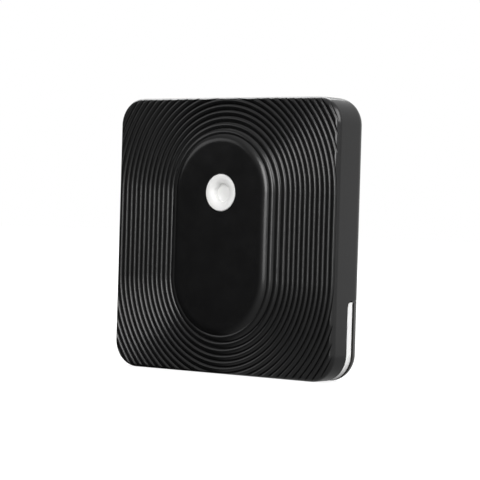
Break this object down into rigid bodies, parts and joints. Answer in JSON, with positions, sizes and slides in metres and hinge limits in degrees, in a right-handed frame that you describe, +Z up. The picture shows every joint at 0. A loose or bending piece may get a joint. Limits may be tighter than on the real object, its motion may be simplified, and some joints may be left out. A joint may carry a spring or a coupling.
{
  "type": "temperature humidity sensor",
  "caption": "Slim square room sensor with a ribbed front, an oval boss, a round dished button, a coin cell and a clip-on rear cover.",
  "frame": {"origin": "on the surface it stands on, under the middle of the case's width and depth", "axes": "+X to the right as seen from the front, +Y from the front to the rear cover, +Z up"},
  "size_m": [0.035, 0.0066, 0.035],
  "materials": {
    "case_black": "fine matte black moulded plastic",
    "cover_black": "fine matte black moulded plastic",
    "frame_white": "satin white moulded plastic",
    "button_white": "satin white moulded plastic, lets light through",
    "board_green": "solder resist on glass laminate",
    "chip_black": "moulded epoxy",
    "crystal_metal": "plated lid",
    "led_resin": "clear resin",
    "sensor_body": "moulded epoxy with an open window",
    "ceramic_blue": "glazed ceramic",
    "ceramic_tan": "glazed ceramic with tinned ends",
    "spring_steel": "nickel-plated spring steel",
    "cell_steel": "nickel-plated steel",
    "cell_filling": null,
    "seal_grey": "nylon"
  },
  "bodies": {
    "housing": {"front_shell": "case_black", "inner_frame": "frame_white", "circuit_board": "board_green", "switch_dome": "spring_steel", "status_led": "led_resin", "radio_chip": "chip_black", "main_crystal": "crystal_metal", "clock_crystal": "crystal_metal", "climate_sensor": "sensor_body", "chip_antenna": "ceramic_blue", "capacitors": "ceramic_tan", "resistors": "chip_black", "inductors": "chip_black", "battery_contact_negative": "spring_steel", "battery_clip_positive": "spring_steel"},
    "button": {"button_cap": "button_white"},
    "cover": {"rear_cover": "cover_black"},
    "coin_cell": {"battery_can": "cell_steel", "battery_gasket": "seal_grey", "battery_cap": "cell_filling"}
  },
  "joints": [
    {"name": "button_press", "type": "slide", "parent": "housing", "child": "button", "axis": [0, 1, 0], "range_m": [0, 0.0002], "stiffness_N_per_m": 4000},
    {"name": "cover_off", "type": "slide", "parent": "housing", "child": "cover", "axis": [0, 1, 0], "range_m": [0, 0.014]},
    {"name": "cell_out", "type": "slide", "parent": "housing", "child": "coin_cell", "axis": [0, 1, 0], "range_m": [0, 0.007]}
  ],
  "couplings": [
    {"joint": "cell_out", "follows": "cover_off", "ratio": 0.5}
  ]
}
